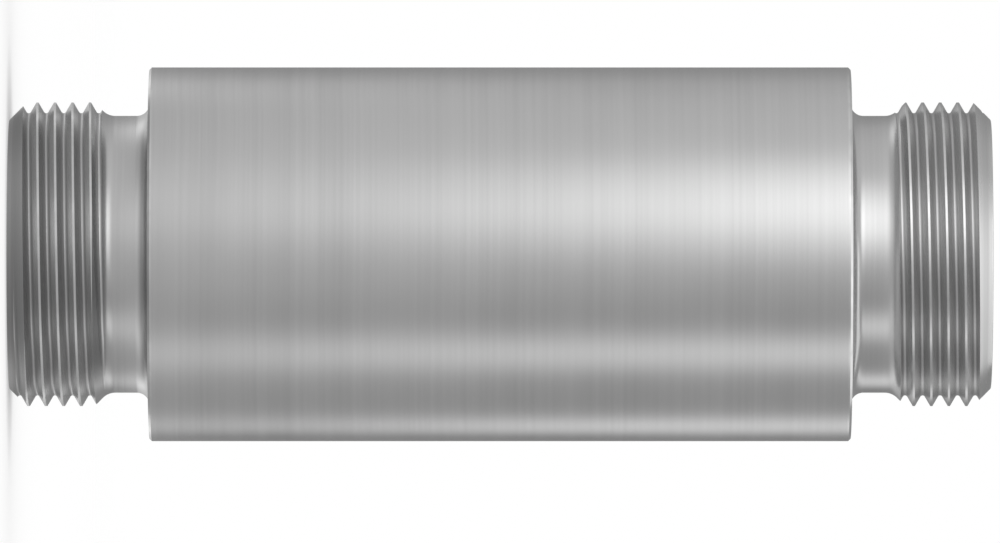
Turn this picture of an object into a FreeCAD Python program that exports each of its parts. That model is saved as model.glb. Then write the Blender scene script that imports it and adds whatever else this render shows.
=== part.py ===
import FreeCAD, Part
import math
import os

# Weld bulkhead fitting, light series, for tube of 18 mm outside diameter.
#
# One turned steel body. A plain round collar, 60 mm long, passes through a
# bulkhead plate and is welded to it. A threaded spigot stands out of each end
# of the collar. Each spigot has an M26x1.5 outside thread with a 45 degree
# lead chamfer, a thread relief behind it, a 24 degree cone in its mouth, and a
# cylindrical socket behind the cone, where the tube end stops. A 15 mm flow
# bore joins the two sockets.
#
# Units are millimetres. The axis of the fitting is Z. The origin is the centre
# of the lower end face, on which the fitting stands. The two ends are alike.
#
# The outside thread is a fine one, so the solid carries its major diameter,
# its lead chamfer, its run-out slope and its relief, and no helical groove.

# ---------------------------------------------------------------- dimensions
overall_length = 84.0      # face to face
collar_d = 32.0            # plain round weld collar
collar_length = 60.0
collar_edge_break = 0.2    # 45 degree break on both rims of the collar

thread_major_d = 26.0      # M26x1.5
thread_end_length = 7.3    # end face to the start of the relief, chamfer included
lead_chamfer = 1.5         # 45 degrees, leaves a 23 mm end face

relief_d = thread_major_d - 2.3   # thread relief for a 1.5 mm pitch
relief_runout_angle = 45.0        # slope from the thread crest down to the relief
relief_runout_blend_r = 1.5       # blend from the slope into the relief floor
relief_shoulder_fillet_r = 1.1    # blend from the relief floor into the shoulder

cone_full_angle = 24.0     # sealing cone
cone_mouth_d = 20.3
mouth_edge_break = 0.1     # between the cone and the end face
socket_d = 18.2            # takes an 18 mm tube with clearance
socket_depth = 7.5         # end face to the tube stop
socket_corner_r = 0.2      # tool nose radius at the tube stop
flow_bore_d = 15.0
bore_edge_break = 0.15     # between the tube stop and the flow bore

# ------------------------------------------------------------ derived values
collar_start = (overall_length - collar_length) / 2.0
half = overall_length / 2.0
end_face_r = thread_major_d / 2.0 - lead_chamfer
thread_r = thread_major_d / 2.0
relief_r = relief_d / 2.0
collar_r = collar_d / 2.0
mouth_r = cone_mouth_d / 2.0
socket_r = socket_d / 2.0
bore_r = flow_bore_d / 2.0
cone_tan = math.tan(math.radians(cone_full_angle / 2.0))
cone_length = (mouth_r - socket_r) / cone_tan


def v(r, z):
    """A point of the half section, at radius r and height z."""
    return FreeCAD.Vector(r, 0.0, z)


def line(a, b):
    return Part.LineSegment(a, b).toShape()


def arc_about(cr, cz, radius, start_deg, end_deg):
    """First, middle and last point of an arc of the half section."""
    pts = []
    for t in (start_deg, (start_deg + end_deg) / 2.0, end_deg):
        a = math.radians(t)
        pts.append(v(cr + radius * math.cos(a), cz + radius * math.sin(a)))
    return pts


def arc(pts):
    return Part.Arc(pts[0], pts[1], pts[2]).toShape()


def lower_end():
    """Edges of the half section at the lower end, from where the flow bore
    starts, out through the mouth and up the outside to where the collar
    starts."""
    edges = []

    # flow bore's edge break, tube stop, socket, cone, mouth
    p_bore = v(bore_r, socket_depth + bore_edge_break)
    p_stop_in = v(bore_r + bore_edge_break, socket_depth)
    corner = arc_about(socket_r - socket_corner_r,
                       socket_depth - socket_corner_r,
                       socket_corner_r, 90.0, 0.0)
    p_cone_in = v(socket_r, cone_length)
    p_cone_out = v(mouth_r - mouth_edge_break * cone_tan, mouth_edge_break)
    p_face_in = v(mouth_r + mouth_edge_break, 0.0)
    edges.append(line(p_bore, p_stop_in))
    edges.append(line(p_stop_in, corner[0]))
    edges.append(arc(corner))
    edges.append(line(corner[2], p_cone_in))
    edges.append(line(p_cone_in, p_cone_out))
    edges.append(line(p_cone_out, p_face_in))

    # end face, lead chamfer, thread major diameter
    p_face_out = v(end_face_r, 0.0)
    p_crest_low = v(thread_r, lead_chamfer)
    p_crest_high = v(thread_r, thread_end_length)
    edges.append(line(p_face_in, p_face_out))
    edges.append(line(p_face_out, p_crest_low))
    edges.append(line(p_crest_low, p_crest_high))

    # relief: slope, blend into the floor, floor, fillet into the shoulder
    slope = math.radians(relief_runout_angle)
    floor_meet = thread_end_length + (thread_r - relief_r) / math.tan(slope)
    blend = arc_about(relief_r + relief_runout_blend_r,
                      floor_meet + relief_runout_blend_r * math.tan(slope / 2.0),
                      relief_runout_blend_r,
                      180.0 + relief_runout_angle, 180.0)
    fillet = arc_about(relief_r + relief_shoulder_fillet_r,
                       collar_start - relief_shoulder_fillet_r,
                       relief_shoulder_fillet_r, 180.0, 90.0)
    edges.append(line(p_crest_high, blend[0]))
    edges.append(arc(blend))
    edges.append(line(blend[2], fillet[0]))
    edges.append(arc(fillet))

    # shoulder and the collar's edge break
    p_shoulder_out = v(collar_r - collar_edge_break, collar_start)
    p_collar = v(collar_r, collar_start + collar_edge_break)
    edges.append(line(fillet[2], p_shoulder_out))
    edges.append(line(p_shoulder_out, p_collar))
    return edges, p_bore, p_collar


def mirrored(p):
    return v(p.x, overall_length - p.z)


def fitting_body():
    """The whole half section as one closed wire, turned once about Z."""
    lower, p_bore, p_collar = lower_end()
    mid_plane = FreeCAD.Vector(0, 0, half)
    upper = [e.mirror(mid_plane, FreeCAD.Vector(0, 0, 1)) for e in lower]
    edges = lower + upper
    edges.append(line(p_bore, mirrored(p_bore)))        # flow bore
    edges.append(line(p_collar, mirrored(p_collar)))    # weld collar
    wire = Part.Wire(Part.__sortEdges__(edges))
    if not wire.isClosed():
        raise RuntimeError("the half section is not closed")
    section = Part.Face(wire)
    body = section.revolve(FreeCAD.Vector(0, 0, 0), FreeCAD.Vector(0, 0, 1), 360.0)
    if body.Volume < 0:
        body.reverse()
    return body


os.makedirs("parts", exist_ok=True)
fitting = fitting_body()
if fitting.ShapeType != "Solid" or not fitting.isValid():
    raise RuntimeError("fitting_body is not one valid solid")
fitting.exportStep("parts/fitting_body.step")

box = fitting.BoundBox
print("fitting_body: %.3f x %.3f x %.3f mm, lowest z %.3f" %
      (box.XLength, box.YLength, box.ZLength, box.ZMin))
print("volume %.1f mm3, %.1f g in steel, %d faces, cone length %.3f mm" %
      (fitting.Volume, fitting.Volume * 7.85e-3, len(fitting.Faces), cone_length))
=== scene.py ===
import math

import bmesh
import bpy
from mathutils import Matrix, Vector


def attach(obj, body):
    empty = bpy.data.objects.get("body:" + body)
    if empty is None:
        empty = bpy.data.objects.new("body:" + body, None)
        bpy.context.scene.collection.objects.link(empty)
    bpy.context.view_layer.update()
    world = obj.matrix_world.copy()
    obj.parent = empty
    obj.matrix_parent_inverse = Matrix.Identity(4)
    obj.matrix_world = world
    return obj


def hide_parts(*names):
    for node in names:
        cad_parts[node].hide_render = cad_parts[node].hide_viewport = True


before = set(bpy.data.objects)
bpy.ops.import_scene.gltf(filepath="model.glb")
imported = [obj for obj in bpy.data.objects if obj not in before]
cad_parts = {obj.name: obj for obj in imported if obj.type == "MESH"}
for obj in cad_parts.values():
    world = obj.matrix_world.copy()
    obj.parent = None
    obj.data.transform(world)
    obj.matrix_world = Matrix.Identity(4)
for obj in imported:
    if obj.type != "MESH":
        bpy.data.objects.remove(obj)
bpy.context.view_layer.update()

MM = 0.001
TAU = 2.0 * math.pi

# ------------------------------------------------------------------ the body
# The fitting is a turned body, so its skin is one closed half section that is
# carried round the axis in COLUMNS steps. Each column is a list of named
# points. Points of the same name in two columns that lie side by side are
# joined, and where the thread starts or runs out, so that a name is missing on
# one side, the gap is filled with triangles. All lengths are millimetres.

COLUMNS = 256

LENGTH = 84.0
HALF = LENGTH / 2.0
COLLAR_R = 16.0
COLLAR_Z = 12.0
RIM_BREAK = 0.2
FACE_R = 11.5
CREST_R = 13.0
CHAMFER_Z = 1.5
THREAD_END_Z = 7.3
RELIEF_R = 11.85
RUNOUT_BLEND_R = 1.5
SHOULDER_FILLET_R = 1.1
MOUTH_R = 10.15
MOUTH_BREAK = 0.1
SOCKET_R = 9.1
SOCKET_Z = 7.5
SOCKET_CORNER_R = 0.2
BORE_R = 7.5
BORE_BREAK = 0.15
CONE_TAN = math.tan(math.radians(12.0))
CONE_Z = (MOUTH_R - SOCKET_R) / CONE_TAN

# ISO metric external thread of 1.5 mm pitch: 60 degree flanks, crest flat of
# an eighth of the pitch, root rounded to a sixth of the fundamental height.
PITCH = 1.5
FUNDAMENTAL = PITCH * math.sqrt(3.0) / 2.0
TAN30 = math.tan(math.radians(30.0))
GROOVE_HALF = 7.0 * PITCH / 16.0
ROOT_R = FUNDAMENTAL / 6.0
ROOT_CENTRE = 17.0 * FUNDAMENTAL / 24.0 - ROOT_R
THREAD_PHASE = 0.35
LOWER_START = 94.0 / COLUMNS  # each thread starts at its own angle, in turns
UPPER_START = 166.0 / COLUMNS
ROOT_STEPS = 6

EDGE = 0.05  # the small break that a turned edge gets


def arc(cr, cz, radius, start, end, steps, name, ends=False):
    """Named points of an arc of the half section, its two ends left out."""
    out = []
    for i in range(0 if ends else 1, steps + (1 if ends else 0)):
        t = math.radians(start + (end - start) * i / steps)
        out.append(("%s%02d" % (name, i), cr + radius * math.cos(t), cz + radius * math.sin(t)))
    return out


def envelope():
    """The outside of one end without its groove, from the rim of the end face
    to the foot of the collar: (name, radius, z)."""
    touch_r = CREST_R - ROOT_CENTRE - ROOT_R * math.cos(math.radians(45.0))
    pts = [
        ("face_out", FACE_R - EDGE, 0.0),
        ("chamfer_in", FACE_R + EDGE * 0.7071, EDGE * 0.7071),
        ("groove_start", touch_r, touch_r - FACE_R),  # the root comes out of the chamfer here
        ("chamfer_out", CREST_R, CHAMFER_Z),
        ("crest_end", CREST_R, THREAD_END_Z),
    ]
    blend_r = RELIEF_R + RUNOUT_BLEND_R
    slope_foot = THREAD_END_Z + (CREST_R - RELIEF_R)
    blend_z = slope_foot + RUNOUT_BLEND_R * math.tan(math.radians(22.5))
    pts += arc(blend_r, blend_z, RUNOUT_BLEND_R, 225.0, 180.0, 8, "blend", ends=True)
    fillet_z = COLLAR_Z - SHOULDER_FILLET_R
    pts += [("floor_mid", RELIEF_R, (blend_z + fillet_z) / 2.0)]
    pts += arc(RELIEF_R + SHOULDER_FILLET_R, fillet_z, SHOULDER_FILLET_R,
               180.0, 90.0, 12, "fillet", ends=True)
    return pts


ENVELOPE = envelope()


def envelope_radius(z):
    for (_, r0, z0), (_, r1, z1) in zip(ENVELOPE, ENVELOPE[1:]):
        if z0 <= z <= z1 and z1 > z0:
            return r0 + (r1 - r0) * (z - z0) / (z1 - z0)
    return ENVELOPE[0][1] if z < 0 else ENVELOPE[-1][1]


def groove_points():
    """One groove of the thread: (name, offset along the axis, radius), from
    above one crest, down the flank, round the root and up the other flank."""
    top = PITCH / 2.0
    pts = [("top0", -top, CREST_R - (GROOVE_HALF - top) / TAN30)]
    for i in range(ROOT_STEPS + 1):
        t = math.radians(-60.0 + 120.0 * i / ROOT_STEPS)
        pts.append(("root%d" % i, ROOT_R * math.sin(t),
                    CREST_R - ROOT_CENTRE - ROOT_R * math.cos(t)))
    pts.append(("top1", top, CREST_R - (GROOVE_HALF - top) / TAN30))
    return pts


GROOVE = groove_points()


def groove_radius(u):
    for (_, u0, r0), (_, u1, r1) in zip(GROOVE, GROOVE[1:]):
        if u0 <= u <= u1:
            return r0 + (r1 - r0) * (u - u0) / (u1 - u0)
    return GROOVE[0][2]


def crossing(centre, inside, outside):
    """Where the groove leaves the envelope, between an offset where it lies
    under it and one where it lies over it."""
    a, b = inside, outside
    for _ in range(40):
        m = (a + b) / 2.0
        if groove_radius(m) < envelope_radius(centre + m):
            a = m
        else:
            b = m
    return (a + b) / 2.0


def outside_column(turns):
    """The outside of one end at an angle given in turns about the axis, the
    groove cut in: (name, radius, z) in order of rising z."""
    cuts = []
    first = math.floor((0.0 - THREAD_PHASE) / PITCH - turns) - 1
    for k in range(first, first + 10):
        centre = THREAD_PHASE + PITCH * (k + turns)
        if centre < -0.7 or centre > 9.2:
            continue
        samples = [-PITCH / 2.0 + PITCH * i / 60.0 for i in range(61)]
        under = [u for u in samples
                 if 0.0 < centre + u < 9.2 and groove_radius(u) < envelope_radius(centre + u) - 1e-6]
        if len(under) < 2:
            continue
        step = PITCH / 60.0
        lo = crossing(centre, under[0], under[0] - step)
        hi = crossing(centre, under[-1], under[-1] + step)
        cuts.append((k, centre, lo, hi))
    out = []
    cut_spans = [(c + lo, c + hi) for _, c, lo, hi in cuts]
    for name, r, z in ENVELOPE:
        if not any(a - 0.012 < z < b + 0.012 for a, b in cut_spans):
            out.append((name, r, z))
    for k, centre, lo, hi in cuts:
        out.append((("down", k), groove_radius(lo), centre + lo))
        for name, u, r in GROOVE[1:-1]:
            if lo + 0.004 < u < hi - 0.004:
                out.append(((name, k), r, centre + u))
        out.append((("up", k), groove_radius(hi), centre + hi))
    out.sort(key=lambda p: p[2])
    return out


def mouth():
    """The inside of one end, from the end face in to the start of the flow
    bore: (name, radius, z)."""
    pts = [
        ("face_in", MOUTH_R + MOUTH_BREAK, 0.0),
        ("cone_out", MOUTH_R - MOUTH_BREAK * CONE_TAN, MOUTH_BREAK),
        ("cone_mid", (MOUTH_R + SOCKET_R) / 2.0, CONE_Z / 2.0),
        ("cone_in", SOCKET_R, CONE_Z),
    ]
    pts += arc(SOCKET_R - SOCKET_CORNER_R, SOCKET_Z - SOCKET_CORNER_R, SOCKET_CORNER_R,
               0.0, 90.0, 4, "corner", ends=True)
    pts += [
        ("stop_in", BORE_R + BORE_BREAK, SOCKET_Z),
        ("bore_start", BORE_R, SOCKET_Z + BORE_BREAK),
    ]
    return pts


MOUTH = mouth()


def spaced(name, r, z0, z1, parts):
    return [("%s%02d" % (name, i), r, z0 + (z1 - z0) * i / parts) for i in range(1, parts)]


def prefixed(prefix, pts, flip=False):
    out = []
    for n, r, z in pts:
        n = (prefix + n[0], n[1]) if isinstance(n, tuple) else prefix + n
        out.append((n, r, LENGTH - z if flip else z))
    return out


def column(i):
    """The whole half section at column i as a closed ring of named points,
    counterclockwise: up the outside, in over the upper end face, down the
    inside and out over the lower end face."""
    turns = i / COLUMNS
    lower = prefixed("L.", outside_column(turns + LOWER_START))
    # the upper end is the lower one turned end over end about the X axis
    upper = prefixed("U.", outside_column(UPPER_START - turns), flip=True)
    rim = [
        ("L.shoulder", COLLAR_R - RIM_BREAK, COLLAR_Z),
        ("L.rim", COLLAR_R, COLLAR_Z + RIM_BREAK),
    ]
    wall = spaced("wall", COLLAR_R, COLLAR_Z + RIM_BREAK, LENGTH - COLLAR_Z - RIM_BREAK, 20)
    rim_up = [
        ("U.rim", COLLAR_R, LENGTH - COLLAR_Z - RIM_BREAK),
        ("U.shoulder", COLLAR_R - RIM_BREAK, LENGTH - COLLAR_Z),
    ]
    inner_up = prefixed("U.", MOUTH, flip=True)
    bore = spaced("bore", BORE_R, LENGTH - SOCKET_Z - BORE_BREAK, SOCKET_Z + BORE_BREAK, 20)
    inner_low = prefixed("L.", MOUTH)
    return (lower + rim + wall + rim_up + list(reversed(upper))
            + inner_up + bore + list(reversed(inner_low)))


SHARP = {
    "face_out", "chamfer_in", "chamfer_out", "crest_end", "fillet12", "shoulder", "rim",
    "face_in", "cone_out", "cone_in", "corner04", "stop_in", "bore_start", "down", "up",
}
SOFT = {"fillet12", "corner04"}  # the far end of a fillet runs on smoothly


def plain(name):
    base = name[0] if isinstance(name, tuple) else name
    return base.split(".", 1)[1] if "." in base else base


def sharp(name):
    base = plain(name)
    return base in SHARP and base not in SOFT


def stitch(bm_face, a, b):
    """Fills the strip between two columns, each a closed ring of
    (name, vertex)."""
    where = {n: j for j, (n, _) in enumerate(b)}
    common = [(i, where[n]) for i, (n, _) in enumerate(a) if n in where]
    if any(q[1] <= p[1] for p, q in zip(common, common[1:])):
        raise RuntimeError("two columns name their points in another order")
    if common[0] != (0, 0):
        raise RuntimeError("two columns start at different points")
    common.append((len(a), len(b)))
    for (i0, j0), (i1, j1) in zip(common, common[1:]):
        left = [a[i % len(a)][1] for i in range(i0, i1 + 1)]
        right = [b[j % len(b)][1] for j in range(j0, j1 + 1)]
        i = j = 0
        while i < len(left) - 1 or j < len(right) - 1:
            if len(left) == 2 and len(right) == 2:
                bm_face(left[0], right[0], right[1], left[1])
                break
            if j == len(right) - 1:
                step_left = True
            elif i == len(left) - 1:
                step_left = False
            else:
                step_left = ((left[i + 1].co - right[j].co).length
                             < (right[j + 1].co - left[i].co).length)
            if step_left:
                bm_face(left[i], right[j], left[i + 1])
                i += 1
            else:
                bm_face(left[i], right[j], right[j + 1])
                j += 1


# ------------------------------------------------------------ its texture map
# One band of the map holds the outside and one the inside. Each runs round the
# axis across the map and along the half section up it, and the thread gets the
# height that its flanks need.
OUTSIDE_BAND = (0.004, 0.660)
INSIDE_BAND = (0.680, 0.996)
INSIDE_NAMES = {n for n, _, _ in MOUTH}


def running_lengths(pts, start):
    """How far along the half section each of its points lies, by name."""
    along, out = start, {}
    last = None
    for name, r, z in pts:
        if last is not None:
            step = math.hypot(r - last[0], z - last[1])
            along += step * (1.9 if 0.03 < z < 8.6 and r > FACE_R else 1.0)
        out[name] = along
        last = (r, z)
    return out


OUTER_ALONG = running_lengths(
    [("face_in", MOUTH_R + MOUTH_BREAK, 0.0)] + ENVELOPE
    + [("shoulder", COLLAR_R - RIM_BREAK, COLLAR_Z), ("rim", COLLAR_R, COLLAR_Z + RIM_BREAK)], 0.0)
INNER_ALONG = running_lengths(MOUTH, 0.0)
OUTER_HALF = OUTER_ALONG["rim"] + HALF - COLLAR_Z - RIM_BREAK
INNER_HALF = INNER_ALONG["bore_start"] + HALF - SOCKET_Z - BORE_BREAK


def along_groove(z):
    for (n0, _, z0), (n1, _, z1) in zip(ENVELOPE, ENVELOPE[1:]):
        if z0 <= z <= z1 and z1 > z0:
            t = (z - z0) / (z1 - z0)
            return OUTER_ALONG[n0] * (1.0 - t) + OUTER_ALONG[n1] * t
    return OUTER_ALONG["face_out"]


def is_inside(name):
    return plain(name) in INSIDE_NAMES or plain(name).startswith("bore")


def up_the_map(name, z, inside):
    """0 at the lower end face and 1 at the upper one."""
    low = z if z <= HALF else LENGTH - z
    base = plain(name)
    if inside:
        s = INNER_ALONG.get(base)
        if s is None:
            s = INNER_ALONG["bore_start"] + low - SOCKET_Z - BORE_BREAK
        s /= 2.0 * INNER_HALF
    else:
        s = OUTER_ALONG.get(base)
        if s is None and base.startswith("wall"):
            s = OUTER_ALONG["rim"] + low - COLLAR_Z - RIM_BREAK
        elif s is None:
            s = along_groove(low)
        s /= 2.0 * OUTER_HALF
    return s if z <= HALF else 1.0 - s


def build_body():
    bm = bmesh.new()
    texture = bm.loops.layers.uv.new("OFBake")
    names, heights, column_of = {}, {}, {}
    columns = []
    for i in range(COLUMNS):
        t = TAU * i / COLUMNS
        c, s = math.cos(t), math.sin(t)
        ring = []
        for n, r, z in column(i):
            v = bm.verts.new((r * c * MM, r * s * MM, z * MM))
            names[v], heights[v], column_of[v] = n, z, i
            ring.append((n, v))
        columns.append(ring)

    def add(*verts):
        face = bm.faces.new(verts)
        face.smooth = True
        inside = all(is_inside(names[v]) for v in verts)
        low, high = reversed(INSIDE_BAND) if inside else OUTSIDE_BAND
        closing = {column_of[v] for v in verts} == {0, COLUMNS - 1}
        for loop in face.loops:
            i = column_of[loop.vert]
            if closing and i == 0:
                i = COLUMNS
            loop[texture].uv = (
                low + (high - low) * i / COLUMNS,
                0.003 + 0.994 * up_the_map(names[loop.vert], heights[loop.vert], inside))

    for i in range(COLUMNS - 1):
        stitch(add, columns[i], columns[i + 1])
    # a full turn on, each groove of the lower end is the next one up, and each
    # of the upper end the next one down
    last = []
    for n, v in columns[0]:
        if isinstance(n, tuple):
            n = (n[0], n[1] - 1) if n[0].startswith("L.") else (n[0], n[1] + 1)
        last.append((n, v))
    stitch(add, columns[-1], last)

    bm.normal_update()
    for e in bm.edges:
        a, b = e.verts
        p, q = plain(names[a]), plain(names[b])
        both = sharp(names[a]) and sharp(names[b])
        turn = e.calc_face_angle(0.0)
        if both and names[a] == names[b]:
            e.smooth = False  # along a rim or a groove's edge
        elif both and {p, q} <= {"down", "up", "chamfer_out", "crest_end"} \
                and column_of[a] != column_of[b] and turn > math.radians(10.0):
            e.smooth = False  # where one of these runs on as another
        elif (sharp(names[a]) or sharp(names[b])) and turn > math.radians(24.0):
            e.smooth = False
    mesh = bpy.data.meshes.new("fitting_body_skin")
    bm.to_mesh(mesh)
    bm.free()
    piece = bpy.data.objects.new("fitting_body_skin", mesh)
    bpy.context.scene.collection.objects.link(piece)
    return piece


body = build_body()


# -------------------------------------------------------------- the material
def math_node(nt, op, a=None, b=None, c=None, clamp=False):
    n = nt.nodes.new("ShaderNodeMath")
    n.operation = op
    n.use_clamp = clamp
    for k, v in enumerate((a, b, c)):
        if v is None:
            continue
        if isinstance(v, (int, float)):
            n.inputs[k].default_value = v
        else:
            nt.links.new(v, n.inputs[k])
    return n.outputs[0]


def turned_steel():
    """Bare turned steel. Every mark follows from the radius and from the
    distance to the nearer end face, both in millimetres, so that each turned
    surface has its own finish and the rims are the places that are worn. The
    inside is painted lighter, which lifts the shade in the hollow."""
    mat = bpy.data.materials.new("turned_steel")
    mat.use_nodes = True
    nt = mat.node_tree
    nt.nodes.clear()
    out = nt.nodes.new("ShaderNodeOutputMaterial")
    shader = nt.nodes.new("ShaderNodeBsdfPrincipled")
    nt.links.new(shader.outputs[0], out.inputs[0])
    shader.inputs["Metallic"].default_value = 1.0
    shader.inputs["Anisotropic"].default_value = 0.45
    shader.inputs["Anisotropic Rotation"].default_value = 0.25
    tangent = nt.nodes.new("ShaderNodeTangent")
    tangent.direction_type = "RADIAL"
    tangent.axis = "Z"
    nt.links.new(tangent.outputs[0], shader.inputs["Tangent"])

    def add(*terms):
        total = terms[0]
        for t in terms[1:]:
            total = math_node(nt, "ADD", total, t)
        return total

    def mul(*terms):
        total = terms[0]
        for t in terms[1:]:
            total = math_node(nt, "MULTIPLY", total, t)
        return total

    def over(value, edge, width):
        """0 below an edge and 1 over it."""
        n = nt.nodes.new("ShaderNodeMapRange")
        n.interpolation_type = "SMOOTHSTEP"
        n.inputs["From Min"].default_value = edge - width / 2.0
        n.inputs["From Max"].default_value = edge + width / 2.0
        nt.links.new(value, n.inputs["Value"])
        return n.outputs[0]

    def under(value, edge, width):
        return math_node(nt, "SUBTRACT", 1.0, over(value, edge, width))

    def near(value, centre, reach):
        """1 at a centre, and 0 from a reach on either side of it."""
        d = math_node(nt, "ABSOLUTE", math_node(nt, "SUBTRACT", value, centre))
        return under(d, reach / 2.0, reach)

    coords = nt.nodes.new("ShaderNodeTexCoord")
    scaled = nt.nodes.new("ShaderNodeVectorMath")
    scaled.operation = "SCALE"
    scaled.inputs["Scale"].default_value = 1000.0
    nt.links.new(coords.outputs["Object"], scaled.inputs[0])
    xyz = nt.nodes.new("ShaderNodeSeparateXYZ")
    nt.links.new(scaled.outputs[0], xyz.inputs[0])
    x, y, z = (xyz.outputs[k] for k in range(3))
    r = math_node(nt, "SQRT", add(mul(x, x), mul(y, y)))
    cx = math_node(nt, "DIVIDE", x, r)
    cy = math_node(nt, "DIVIDE", y, r)
    end = math_node(nt, "SUBTRACT", HALF,
                    math_node(nt, "ABSOLUTE", math_node(nt, "SUBTRACT", z, HALF)))

    def lathe_noise(along, round_axis, detail, rough):
        """Streaks that run round the axis: along is how many there are to a
        millimetre of the section, round_axis how soon they change round it."""
        comb = nt.nodes.new("ShaderNodeCombineXYZ")
        nt.links.new(mul(cx, round_axis), comb.inputs[0])
        nt.links.new(mul(cy, round_axis), comb.inputs[1])
        nt.links.new(mul(z, along), comb.inputs[2])
        n = nt.nodes.new("ShaderNodeTexNoise")
        n.noise_dimensions = "4D"
        n.inputs["Scale"].default_value = 1.0
        n.inputs["Detail"].default_value = detail
        n.inputs["Roughness"].default_value = rough
        nt.links.new(comb.outputs[0], n.inputs["Vector"])
        nt.links.new(mul(r, along), n.inputs["W"])
        return n.outputs[0]

    def cloud_noise(scale, detail):
        n = nt.nodes.new("ShaderNodeTexNoise")
        n.inputs["Scale"].default_value = scale
        n.inputs["Detail"].default_value = detail
        nt.links.new(scaled.outputs[0], n.inputs["Vector"])
        return n.outputs[0]

    fine = lathe_noise(2.6, 0.22, 1.0, 0.45)
    coarse = lathe_noise(0.7, 0.20, 2.0, 0.5)
    cloud = cloud_noise(0.09, 3.0)
    patch = cloud_noise(0.55, 2.0)

    # the surfaces
    inside = under(r, 10.20, 0.06)
    cone = mul(inside, under(end, CONE_Z, 0.06))
    bore = mul(inside, over(end, SOCKET_Z + 0.08, 0.10))
    thread = mul(over(r, 11.9, 0.2), under(end, 7.75, 0.5))
    root = mul(thread, under(r, 12.45, 0.8))

    # the rims, where handling brightens them
    crest = mul(thread, over(r, 12.90, 0.12))
    collar_rim = mul(over(r, 15.70, 0.20), under(end, 12.32, 0.30))
    face_rim = mul(under(end, 0.12, 0.20), near(r, FACE_R, 0.24))
    mouth_rim = mul(under(end, 0.16, 0.24), near(r, MOUTH_R + 0.05, 0.22))
    bore_rim = mul(inside, near(r, BORE_R + 0.10, 0.26), near(end, SOCKET_Z + 0.08, 0.26))
    worn = add(mul(crest, 0.7), collar_rim, face_rim, mouth_rim, mul(bore_rim, 0.8))
    worn = math_node(nt, "MINIMUM", mul(worn, add(mul(over(patch, 0.5, 0.3), 0.6), 0.4)), 1.0)

    # colour: neutral steel, darker in the thread roots, and lighter inside and more so in the cone:
    # painted light that lifts the shade in there
    tone = add(mul(fine, 0.05), mul(coarse, 0.07), mul(cloud, 0.05), 0.415,
               mul(worn, 0.11), mul(root, -0.07), mul(inside, 0.07), mul(cone, 0.03))
    grey = nt.nodes.new("ShaderNodeCombineColor")
    for k in range(3):
        nt.links.new(tone, grey.inputs[k])
    nt.links.new(grey.outputs[0], shader.inputs["Base Color"])

    rough = math_node(nt, "MINIMUM", add(mul(coarse, 0.10), mul(cloud, 0.08), 0.145), 0.265)
    rough = add(rough, mul(worn, -0.06), mul(root, 0.08), mul(bore, 0.09), mul(cone, -0.05))
    nt.links.new(rough, shader.inputs["Roughness"])

    # tool marks
    height = add(mul(fine, 0.6), mul(coarse, 0.5))
    bump = nt.nodes.new("ShaderNodeBump")
    bump.inputs["Strength"].default_value = 0.6
    bump.inputs["Distance"].default_value = 0.00002
    nt.links.new(height, bump.inputs["Height"])
    nt.links.new(bump.outputs[0], shader.inputs["Normal"])
    return mat


body.data.materials.append(turned_steel())
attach(body, "root")
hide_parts("fitting_body")


# ----------------------------------------------------------------- the stage
# The light that the metal mirrors, by the direction that it comes from: y is
# -1 in front of the fitting and 1 behind it.
SURROUND = [(-1.0, 0.66), (-0.95, 0.78), (-0.875, 0.83), (-0.76, 0.83), (-0.60, 0.86),
            (-0.225, 0.87), (0.035, 0.83), (0.326, 0.77), (0.643, 0.65), (0.857, 0.45), (1.0, 0.30)]
SHADE_SIDE = 0.60  # how much of that is left on the +X side
FLOOR_LIT = 0.50
FLOOR_LIFT = 0.56
# the floor's painted glow that only the metal sees: a base and bright patches at angles round the
# axis
PAINTED_SPILL_BASE = 0.62
PAINTED_SPILLS = [(27.0, 20.0, 0.42), (-62.0, 13.0, 0.38), (-130.0, 12.0, 0.62), (122.0, 13.0, 0.62)]


def white(value):
    return (value, value, value, 1.0)


def make_world():
    """White to the camera, and a soft grey studio to the metal."""
    world = bpy.data.worlds.new("studio")
    bpy.context.scene.world = world
    world.use_nodes = True
    nt = world.node_tree
    nt.nodes.clear()
    out = nt.nodes.new("ShaderNodeOutputWorld")
    seen = nt.nodes.new("ShaderNodeBackground")
    seen.inputs[0].default_value = white(1.0)
    seen.inputs[1].default_value = 1.0
    lit = nt.nodes.new("ShaderNodeBackground")
    coords = nt.nodes.new("ShaderNodeTexCoord")
    xyz = nt.nodes.new("ShaderNodeSeparateXYZ")
    nt.links.new(coords.outputs["Generated"], xyz.inputs[0])
    place = math_node(nt, "MULTIPLY_ADD", xyz.outputs[1], 0.5, 0.5)
    ramp = nt.nodes.new("ShaderNodeValToRGB")
    ramp.color_ramp.interpolation = "LINEAR"
    stops = ramp.color_ramp.elements
    while len(stops) < len(SURROUND):
        stops.new(0.5)
    for stop, (y, value) in zip(stops, SURROUND):
        stop.position = y * 0.5 + 0.5
        stop.color = white(value)
    nt.links.new(place, ramp.inputs[0])
    side = nt.nodes.new("ShaderNodeMapRange")
    side.interpolation_type = "SMOOTHSTEP"
    side.inputs["From Min"].default_value = -0.05
    side.inputs["From Max"].default_value = 0.70
    side.inputs["To Min"].default_value = 1.0
    side.inputs["To Max"].default_value = SHADE_SIDE
    nt.links.new(xyz.outputs[0], side.inputs["Value"])
    nt.links.new(ramp.outputs[0], lit.inputs[0])
    nt.links.new(side.outputs[0], lit.inputs[1])
    path = nt.nodes.new("ShaderNodeLightPath")
    mix = nt.nodes.new("ShaderNodeMixShader")
    nt.links.new(path.outputs["Is Camera Ray"], mix.inputs[0])
    nt.links.new(lit.outputs[0], mix.inputs[1])
    nt.links.new(seen.outputs[0], mix.inputs[2])
    nt.links.new(mix.outputs[0], out.inputs[0])


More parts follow.
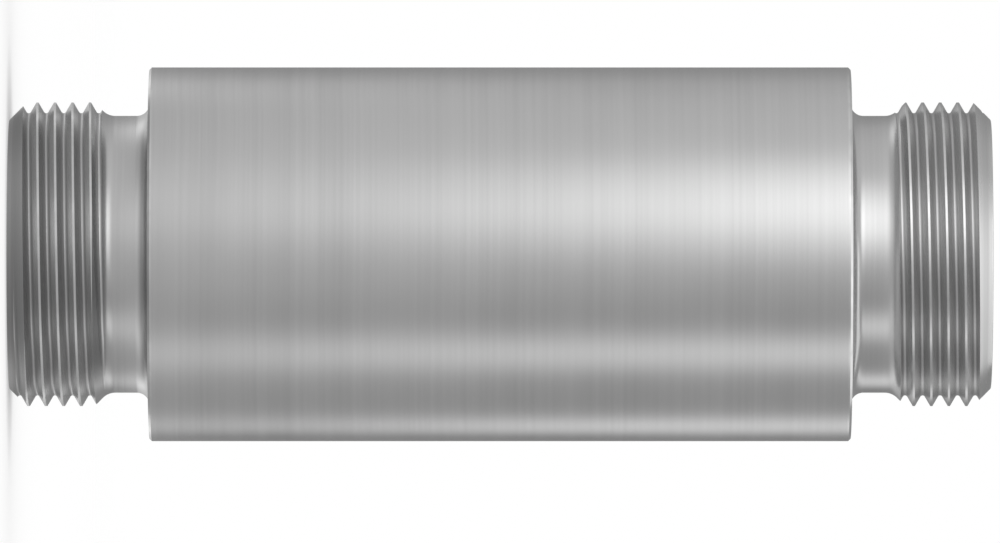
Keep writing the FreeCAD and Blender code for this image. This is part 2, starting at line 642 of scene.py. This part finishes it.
def make_floor():
    mesh = bpy.data.meshes.new("floor")
    n, radius = 96, 0.62
    verts = [(0.0, 0.0, 0.0)] + [
        (radius * math.cos(TAU * i / n), radius * math.sin(TAU * i / n), 0.0) for i in range(n)]
    faces = [(0, 1 + i, 1 + (i + 1) % n) for i in range(n)]
    mesh.from_pydata(verts, [], faces)
    floor = bpy.data.objects.new("floor", mesh)
    bpy.context.scene.collection.objects.link(floor)
    mat = bpy.data.materials.new("pale_floor")
    mat.use_nodes = True
    nt = mat.node_tree
    nt.nodes.clear()
    out = nt.nodes.new("ShaderNodeOutputMaterial")
    coords = nt.nodes.new("ShaderNodeTexCoord")
    length = nt.nodes.new("ShaderNodeVectorMath")
    length.operation = "LENGTH"
    nt.links.new(coords.outputs["Object"], length.inputs[0])
    reach = length.outputs["Value"]

    # pale and evenly lit, with a soft shadow round the foot, partly cast and partly painted by
    # turning its glow down there
    diffuse = nt.nodes.new("ShaderNodeBsdfDiffuse")
    diffuse.inputs[0].default_value = white(FLOOR_LIT)
    lift = nt.nodes.new("ShaderNodeEmission")
    # painted shadow: the floor's glow is weaker near the foot
    painted_foot_shadow = nt.nodes.new("ShaderNodeMapRange")
    painted_foot_shadow.interpolation_type = "SMOOTHSTEP"
    painted_foot_shadow.inputs["From Min"].default_value = 0.012
    painted_foot_shadow.inputs["From Max"].default_value = 0.020
    painted_foot_shadow.inputs["To Min"].default_value = FLOOR_LIFT * 0.70
    painted_foot_shadow.inputs["To Max"].default_value = FLOOR_LIFT
    nt.links.new(reach, painted_foot_shadow.inputs["Value"])
    nt.links.new(painted_foot_shadow.outputs[0], lift.inputs["Strength"])
    bright = nt.nodes.new("ShaderNodeAddShader")
    nt.links.new(diffuse.outputs[0], bright.inputs[0])
    nt.links.new(lift.outputs[0], bright.inputs[1])

    # what the metal mirrors of it: a painted glow by the angle round the axis, as if the panels
    # spilled light there, with painted shade round the foot
    xyz = nt.nodes.new("ShaderNodeSeparateXYZ")
    nt.links.new(coords.outputs["Object"], xyz.inputs[0])
    turn = math_node(nt, "ARCTAN2", math_node(nt, "MULTIPLY", xyz.outputs[0], -1.0),
                     math_node(nt, "MULTIPLY", xyz.outputs[1], -1.0))
    glow = math_node(nt, "ADD", math_node(nt, "MULTIPLY", xyz.outputs[0], 0.0), PAINTED_SPILL_BASE)
    for angle, sigma, peak in PAINTED_SPILLS:
        d = math_node(nt, "SUBTRACT", turn, math.radians(angle))
        d = math_node(nt, "DIVIDE", d, math.radians(sigma))
        d = math_node(nt, "MULTIPLY", math_node(nt, "MULTIPLY", d, d), -0.5)
        glow = math_node(nt, "ADD", glow,
                         math_node(nt, "MULTIPLY", math_node(nt, "EXPONENT", d), peak))
    # painted shade: that glow is darker near the foot
    painted_spill_foot_shade = nt.nodes.new("ShaderNodeMapRange")
    painted_spill_foot_shade.interpolation_type = "SMOOTHSTEP"
    painted_spill_foot_shade.inputs["From Min"].default_value = 0.0125
    painted_spill_foot_shade.inputs["From Max"].default_value = 0.036
    painted_spill_foot_shade.inputs["To Min"].default_value = 0.45
    painted_spill_foot_shade.inputs["To Max"].default_value = 1.0
    nt.links.new(reach, painted_spill_foot_shade.inputs["Value"])
    painted_spill = nt.nodes.new("ShaderNodeEmission")
    nt.links.new(math_node(nt, "MULTIPLY", glow, painted_spill_foot_shade.outputs[0]), painted_spill.inputs["Strength"])

    path = nt.nodes.new("ShaderNodeLightPath")
    pale = nt.nodes.new("ShaderNodeMixShader")
    nt.links.new(path.outputs["Is Camera Ray"], pale.inputs[0])
    nt.links.new(painted_spill.outputs[0], pale.inputs[1])
    nt.links.new(bright.outputs[0], pale.inputs[2])

    clear = nt.nodes.new("ShaderNodeBsdfTransparent")
    fade = nt.nodes.new("ShaderNodeMapRange")
    fade.interpolation_type = "SMOOTHSTEP"
    fade.inputs["From Min"].default_value = 0.10
    fade.inputs["From Max"].default_value = 0.60
    nt.links.new(reach, fade.inputs["Value"])
    mix = nt.nodes.new("ShaderNodeMixShader")
    nt.links.new(fade.outputs[0], mix.inputs[0])
    nt.links.new(pale.outputs[0], mix.inputs[1])
    nt.links.new(clear.outputs[0], mix.inputs[2])
    nt.links.new(mix.outputs[0], out.inputs[0])
    mesh.materials.append(mat)


def area_light(name, place, aim, size, size_y, power):
    data = bpy.data.lights.new(name, "AREA")
    data.shape = "RECTANGLE"
    data.size = size
    data.size_y = size_y
    data.energy = power
    obj = bpy.data.objects.new(name, data)
    bpy.context.scene.collection.objects.link(obj)
    obj.location = place
    obj.rotation_euler = (Vector(aim) - Vector(place)).to_track_quat("-Z", "Y").to_euler()
    obj.visible_camera = False
    return obj


def soft_panel(name, angle, reach, sigma, width, z0, z1, peak, rise=None):
    """A standing light panel at an angle round the axis, which is brightest
    along its middle and fades to its sides. rise gives the heights between
    which it comes up from dark to full."""
    t = math.radians(angle)
    place = (-reach * math.sin(t), -reach * math.cos(t), (z0 + z1) / 2.0)
    panel = area_light(name, place, (0.0, 0.0, (z0 + z1) / 2.0), width, z1 - z0,
                       math.pi * width * (z1 - z0))
    data = panel.data
    data.use_nodes = True
    nt = data.node_tree
    nt.nodes.clear()
    out = nt.nodes.new("ShaderNodeOutputLight")
    glow = nt.nodes.new("ShaderNodeEmission")
    nt.links.new(glow.outputs[0], out.inputs[0])
    where = nt.nodes.new("ShaderNodeNewGeometry")
    across = nt.nodes.new("ShaderNodeVectorMath")
    across.operation = "DOT_PRODUCT"
    nt.links.new(where.outputs["Position"], across.inputs[0])
    across.inputs[1].default_value = (math.cos(t), -math.sin(t), 0.0)
    x = math_node(nt, "DIVIDE", across.outputs["Value"], reach * math.tan(math.radians(sigma)))
    x = math_node(nt, "MULTIPLY", math_node(nt, "MULTIPLY", x, x), -0.5)
    power = math_node(nt, "MULTIPLY", math_node(nt, "EXPONENT", x), peak)
    if rise:
        xyz = nt.nodes.new("ShaderNodeSeparateXYZ")
        nt.links.new(where.outputs["Position"], xyz.inputs[0])
        up = nt.nodes.new("ShaderNodeMapRange")
        up.inputs["From Min"].default_value = rise[0]
        up.inputs["From Max"].default_value = rise[1]
        nt.links.new(xyz.outputs[2], up.inputs["Value"])
        power = math_node(nt, "MULTIPLY", power, up.outputs[0])
    nt.links.new(power, glow.inputs["Strength"])
    panel.light_linking.receiver_collection = panel_lit
    return panel


# the panels light the fitting alone, so that none leaves an edge on the floor
panel_lit = bpy.data.collections.new("panel_lit")
panel_lit.objects.link(body)

make_world()
make_floor()
soft_panel("key", 27.0, 0.12, 20.0, 0.35, 0.0, 0.16, 1.34, rise=(0.018, 0.098))
soft_panel("fill", -62.0, 0.25, 9.0, 0.30, 0.0, 0.20, 0.60, rise=(0.0, 0.05))
soft_panel("back_fill", -130.0, 0.25, 10.0, 0.30, 0.0, 0.20, 0.70, rise=(0.0, 0.05))
area_light("top", (0.20, 0.10, 0.75), (0.0, 0.0, 0.04), 0.9, 0.9, 1.8)

# ---------------------------------------------------------------- the camera
# It looks along +Y, square on to the axis, and is rolled so that the fitting's
# +Z points to the right of the picture.
PX_PER_MM = 11.68
LENS = 780.0
AXIS_ROW = 254.3
cam_data = bpy.data.cameras.new("camera")
cam_data.lens = LENS
cam_data.sensor_width = 36.0
camera = bpy.data.objects.new("camera", cam_data)
bpy.context.scene.collection.objects.link(camera)
distance = (1000.0 / PX_PER_MM) * MM * LENS / 36.0
drop = (543.0 / 2.0 - AXIS_ROW) / PX_PER_MM * MM
camera.location = (drop, -distance, HALF * MM)
right, up = Vector((0, 0, 1)), Vector((-1, 0, 0))
back = right.cross(up)
basis = [list(row) for row in zip(right, up, back)]
camera.rotation_mode = "QUATERNION"
camera.rotation_quaternion = Matrix(basis).to_quaternion()
cam_data.clip_start = 0.05
cam_data.clip_end = 10.0
bpy.context.scene.camera = camera

bpy.context.scene.view_settings.view_transform = "Standard"

# ------------------------------------------------------------------- the end
bpy.context.view_layer.update()
